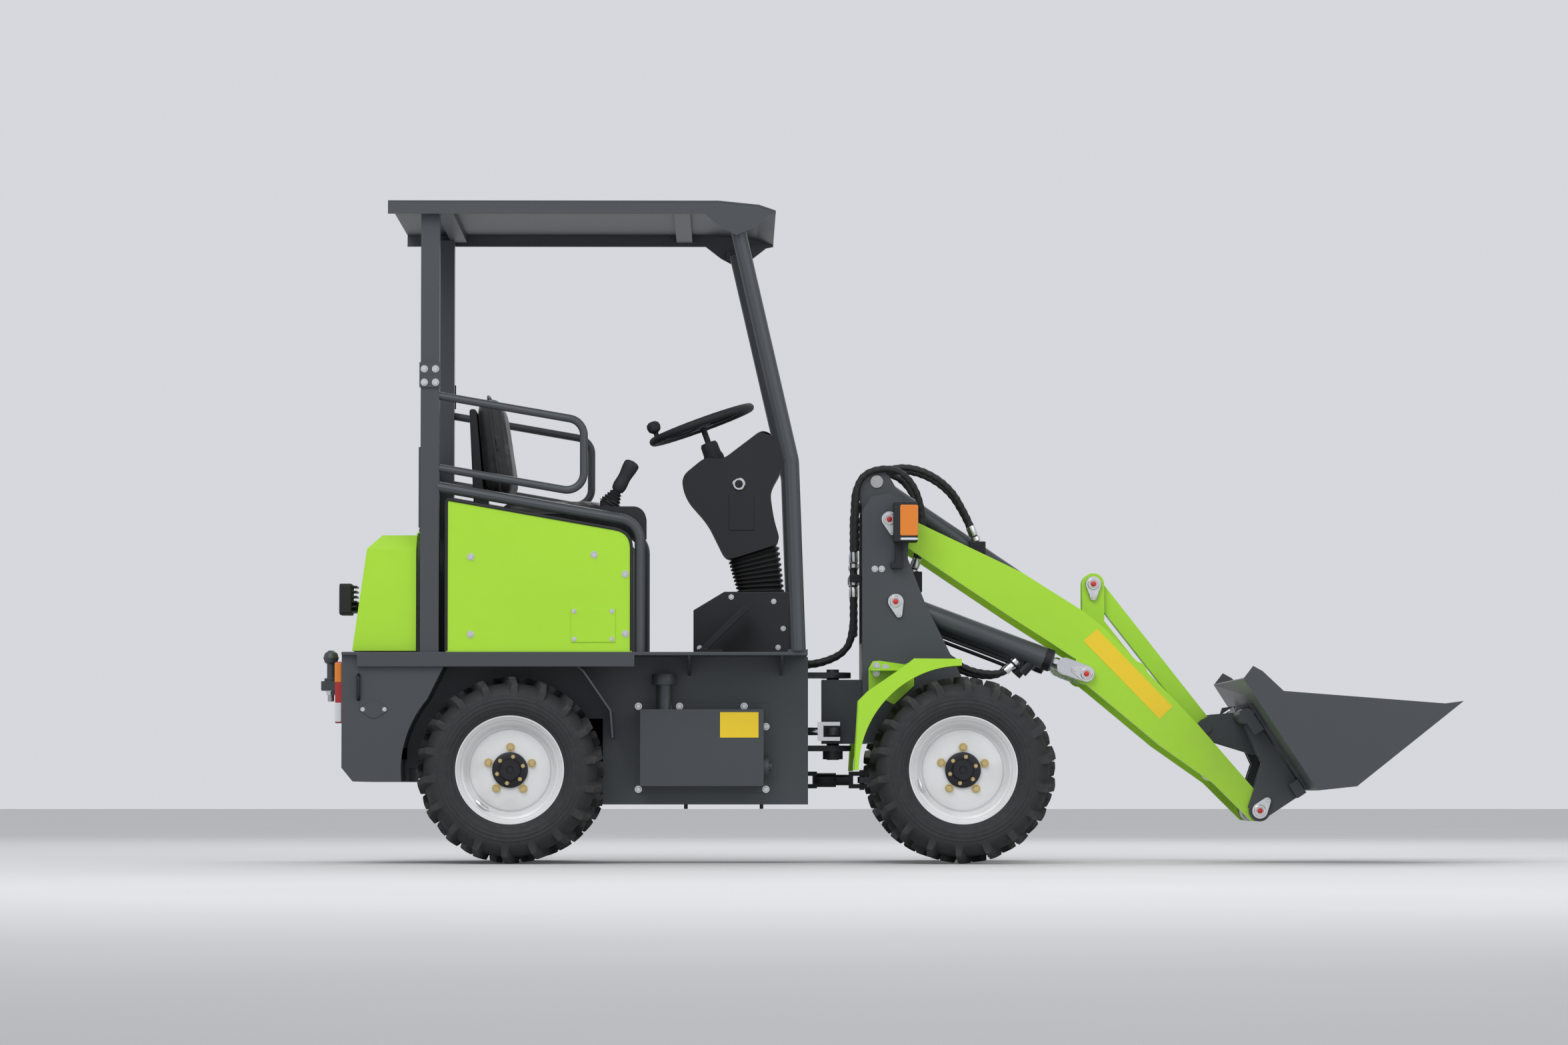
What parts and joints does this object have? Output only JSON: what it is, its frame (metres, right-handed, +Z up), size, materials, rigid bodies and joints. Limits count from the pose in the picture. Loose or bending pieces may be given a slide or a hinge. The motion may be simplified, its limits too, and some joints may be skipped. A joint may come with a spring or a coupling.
{
  "type": "wheel loader",
  "caption": "Compact articulated wheel loader with open canopy, two-arm boom, tilting bucket on a quick hitch, and chevron-lug tyres.",
  "frame": {"origin": "on the ground under the middle of the machine's length, in its plane of symmetry", "axes": "+X forward to the bucket, +Y to the machine's left, +Z up"},
  "size_m": [3.595, 1.09, 2.071],
  "materials": {
    "green_paint": "semi-gloss lime green paint",
    "grey_paint": "satin dark grey paint",
    "black_plastic": "matt black plastic",
    "black_paint": "satin black paint",
    "tyre": "matt rubber",
    "rim": "light grey paint",
    "chrome": "polished rods",
    "steel": "bare pins",
    "vinyl": "black vinyl",
    "rubber": "black rubber",
    "red_lens": "red and amber lens",
    "amber_lens": "amber lens"
  },
  "bodies": {
    "rear_frame": {"rear_frame": "grey_paint", "deck": "grey_paint", "rear_axle": "grey_paint", "drive_motor": "black_paint", "battery_pack": "black_plastic", "hydraulic_tank": "grey_paint", "side_panels": "green_paint", "seat_platform": "black_plastic", "seat_base": "black_plastic", "seat_cushion": "vinyl", "seat_back": "vinyl", "control_pod": "black_plastic", "rear_posts": "grey_paint", "rear_panel": "grey_paint", "canopy_frame": "grey_paint", "roof_panel": "grey_paint", "steering_console": "black_plastic", "console_bellows": "rubber", "pedal_box": "black_plastic", "pedals": "black_paint", "tail_lamps": "red_lens", "tow_hitch": "grey_paint", "steering_barrel": "grey_paint"},
    "rear_hood": {"rear_hood": "green_paint", "work_lamp": "black_plastic"},
    "steering_wheel": {"steering_wheel": "rubber"},
    "front_frame": {"front_frame": "grey_paint", "front_axle": "grey_paint", "front_fenders": "green_paint", "indicator_lamps": "amber_lens", "tower_hoses": "rubber"},
    "boom": {"boom": "green_paint"},
    "lift_barrels": {"lift_barrels": "grey_paint"},
    "lift_rods": {"lift_rods": "chrome"},
    "tilt_pin": {"tilt_pin": "steel"},
    "tilt_barrel": {"tilt_barrel": "grey_paint"},
    "tilt_rod": {"tilt_rod": "chrome"},
    "rocker_pin": {"rocker_pin": "steel"},
    "rocker": {"rocker": "green_paint"},
    "link_pin": {"link_pin": "steel"},
    "tilt_link": {"tilt_link": "green_paint"},
    "bucket_pins": {"bucket_pins": "steel"},
    "bucket": {"quick_hitch": "grey_paint", "bucket": "grey_paint"},
    "driveshaft_rear": {"driveshaft_rear": "black_paint"},
    "driveshaft_front": {"driveshaft_front": "black_paint"},
    "steering_rod": {"steering_rod": "chrome"},
    "wheel_front_right": {"tyre_front_right": "tyre", "rim_front_right": "rim"},
    "wheel_front_left": {"tyre_front_left": "tyre", "rim_front_left": "rim"},
    "wheel_rear_right": {"tyre_rear_right": "tyre", "rim_rear_right": "rim"},
    "wheel_rear_left": {"tyre_rear_left": "tyre", "rim_rear_left": "rim"}
  },
  "joints": [
    {"name": "articulation", "type": "hinge", "parent": "rear_frame", "child": "front_frame", "pos_m": [-0.159, 0, 0.48], "axis": [0, 0, 1], "range_deg": [-38, 38]},
    {"name": "boom_lift", "type": "hinge", "parent": "front_frame", "child": "boom", "pos_m": [0.016, 0, 1.087], "axis": [0, -1, 0], "range_deg": [-1, 80]},
    {"name": "lift_barrel_swing", "type": "hinge", "parent": "front_frame", "child": "lift_barrels", "pos_m": [0.036, 0, 0.826], "axis": [0, -1, 0], "range_deg": [-3, 78]},
    {"name": "lift_rod_slide", "type": "slide", "parent": "lift_barrels", "child": "lift_rods", "axis": [0.9359, 0, -0.3521], "range_m": [-0.012, 0.34]},
    {"name": "tilt_pin_turn", "type": "hinge", "parent": "front_frame", "child": "tilt_pin", "pos_m": [-0.021, 0, 1.212], "axis": [0, -1, 0], "range_deg": [-1, 8]},
    {"name": "tilt_barrel_swing", "type": "hinge", "parent": "tilt_pin", "child": "tilt_barrel", "pos_m": [-0.021, 0, 1.212], "axis": [0, -1, 0], "range_deg": [-3, 88]},
    {"name": "tilt_rod_slide", "type": "slide", "parent": "tilt_barrel", "child": "tilt_rod", "axis": [0.8269, 0, -0.5623], "range_m": [-0.01, 0.15]},
    {"name": "rocker_pin_turn", "type": "hinge", "parent": "boom", "child": "rocker_pin", "pos_m": [0.8, 0, 0.6], "axis": [0, 1, 0], "range_deg": [-3, 82]},
    {"name": "rocker_swing", "type": "hinge", "parent": "rocker_pin", "child": "rocker", "pos_m": [0.8, 0, 0.6], "axis": [0, 1, 0], "range_deg": [-3, 70]},
    {"name": "link_pin_turn", "type": "hinge", "parent": "rocker", "child": "link_pin", "pos_m": [0.675, 0, 0.889], "axis": [0, -1, 0], "range_deg": [-3, 82]},
    {"name": "tilt_link_swing", "type": "hinge", "parent": "link_pin", "child": "tilt_link", "pos_m": [0.675, 0, 0.889], "axis": [0, -1, 0], "range_deg": [-3, 70]},
    {"name": "bucket_pin_turn", "type": "hinge", "parent": "boom", "child": "bucket_pins", "pos_m": [1.19, 0, 0.164], "axis": [0, 1, 0], "range_deg": [-3, 88]},
    {"name": "bucket_tilt", "type": "hinge", "parent": "bucket_pins", "child": "bucket", "pos_m": [1.19, 0, 0.164], "axis": [0, 1, 0], "range_deg": [-1, 75]},
    {"name": "steering_wheel_turn", "type": "hinge", "parent": "rear_frame", "child": "steering_wheel", "pos_m": [-0.58, 0, 1.403], "axis": [-0.342, 0, 0.9397], "continuous": true},
    {"name": "rear_hood_open", "type": "hinge", "parent": "rear_frame", "child": "rear_hood", "pos_m": [-1.468, 0, 1.034], "axis": [0, 1, 0], "range_deg": [0, 65]},
    {"name": "driveshaft_rear_turn", "type": "hinge", "parent": "rear_frame", "child": "driveshaft_rear", "pos_m": [-0.252, 0, 0.262], "axis": [0, 0, 1], "range_deg": [-20, 20]},
    {"name": "driveshaft_front_turn", "type": "hinge", "parent": "front_frame", "child": "driveshaft_front", "pos_m": [-0.066, 0, 0.262], "axis": [0, 0, 1], "range_deg": [-20, 20]},
    {"name": "steering_rod_slide", "type": "slide", "parent": "rear_frame", "child": "steering_rod", "axis": [1, 0, 0], "range_m": [-0.1, 0.1]},
    {"name": "wheel_front_right_spin", "type": "hinge", "parent": "front_frame", "child": "wheel_front_right", "pos_m": [0.239, -0.424, 0.292], "axis": [0, 1, 0], "continuous": true},
    {"name": "wheel_front_left_spin", "type": "hinge", "parent": "front_frame", "child": "wheel_front_left", "pos_m": [0.239, 0.424, 0.292], "axis": [0, 1, 0], "continuous": true},
    {"name": "wheel_rear_right_spin", "type": "hinge", "parent": "rear_frame", "child": "wheel_rear_right", "pos_m": [-1.175, -0.424, 0.292], "axis": [0, 1, 0], "continuous": true},
    {"name": "wheel_rear_left_spin", "type": "hinge", "parent": "rear_frame", "child": "wheel_rear_left", "pos_m": [-1.175, 0.424, 0.292], "axis": [0, 1, 0], "continuous": true}
  ],
  "couplings": [
    {"joint": "lift_barrel_swing", "follows": "boom_lift", "ratio": 0.936},
    {"joint": "lift_rod_slide", "follows": "boom_lift", "m_per_rad": 0.2357},
    {"joint": "tilt_pin_turn", "follows": "bucket_tilt", "ratio": 0.088},
    {"joint": "tilt_barrel_swing", "follows": "boom_lift", "ratio": 1.059},
    {"joint": "tilt_rod_slide", "follows": "bucket_tilt", "m_per_rad": 0.1},
    {"joint": "rocker_pin_turn", "follows": "boom_lift", "ratio": 1},
    {"joint": "rocker_swing", "follows": "bucket_tilt", "ratio": 0.915},
    {"joint": "link_pin_turn", "follows": "boom_lift", "ratio": 1},
    {"joint": "tilt_link_swing", "follows": "bucket_tilt", "ratio": 0.915},
    {"joint": "bucket_pin_turn", "follows": "boom_lift", "ratio": 1.093},
    {"joint": "driveshaft_rear_turn", "follows": "articulation", "ratio": 0.5},
    {"joint": "driveshaft_front_turn", "follows": "articulation", "ratio": -0.5},
    {"joint": "steering_rod_slide", "follows": "articulation", "m_per_rad": 0.13}
  ]
}
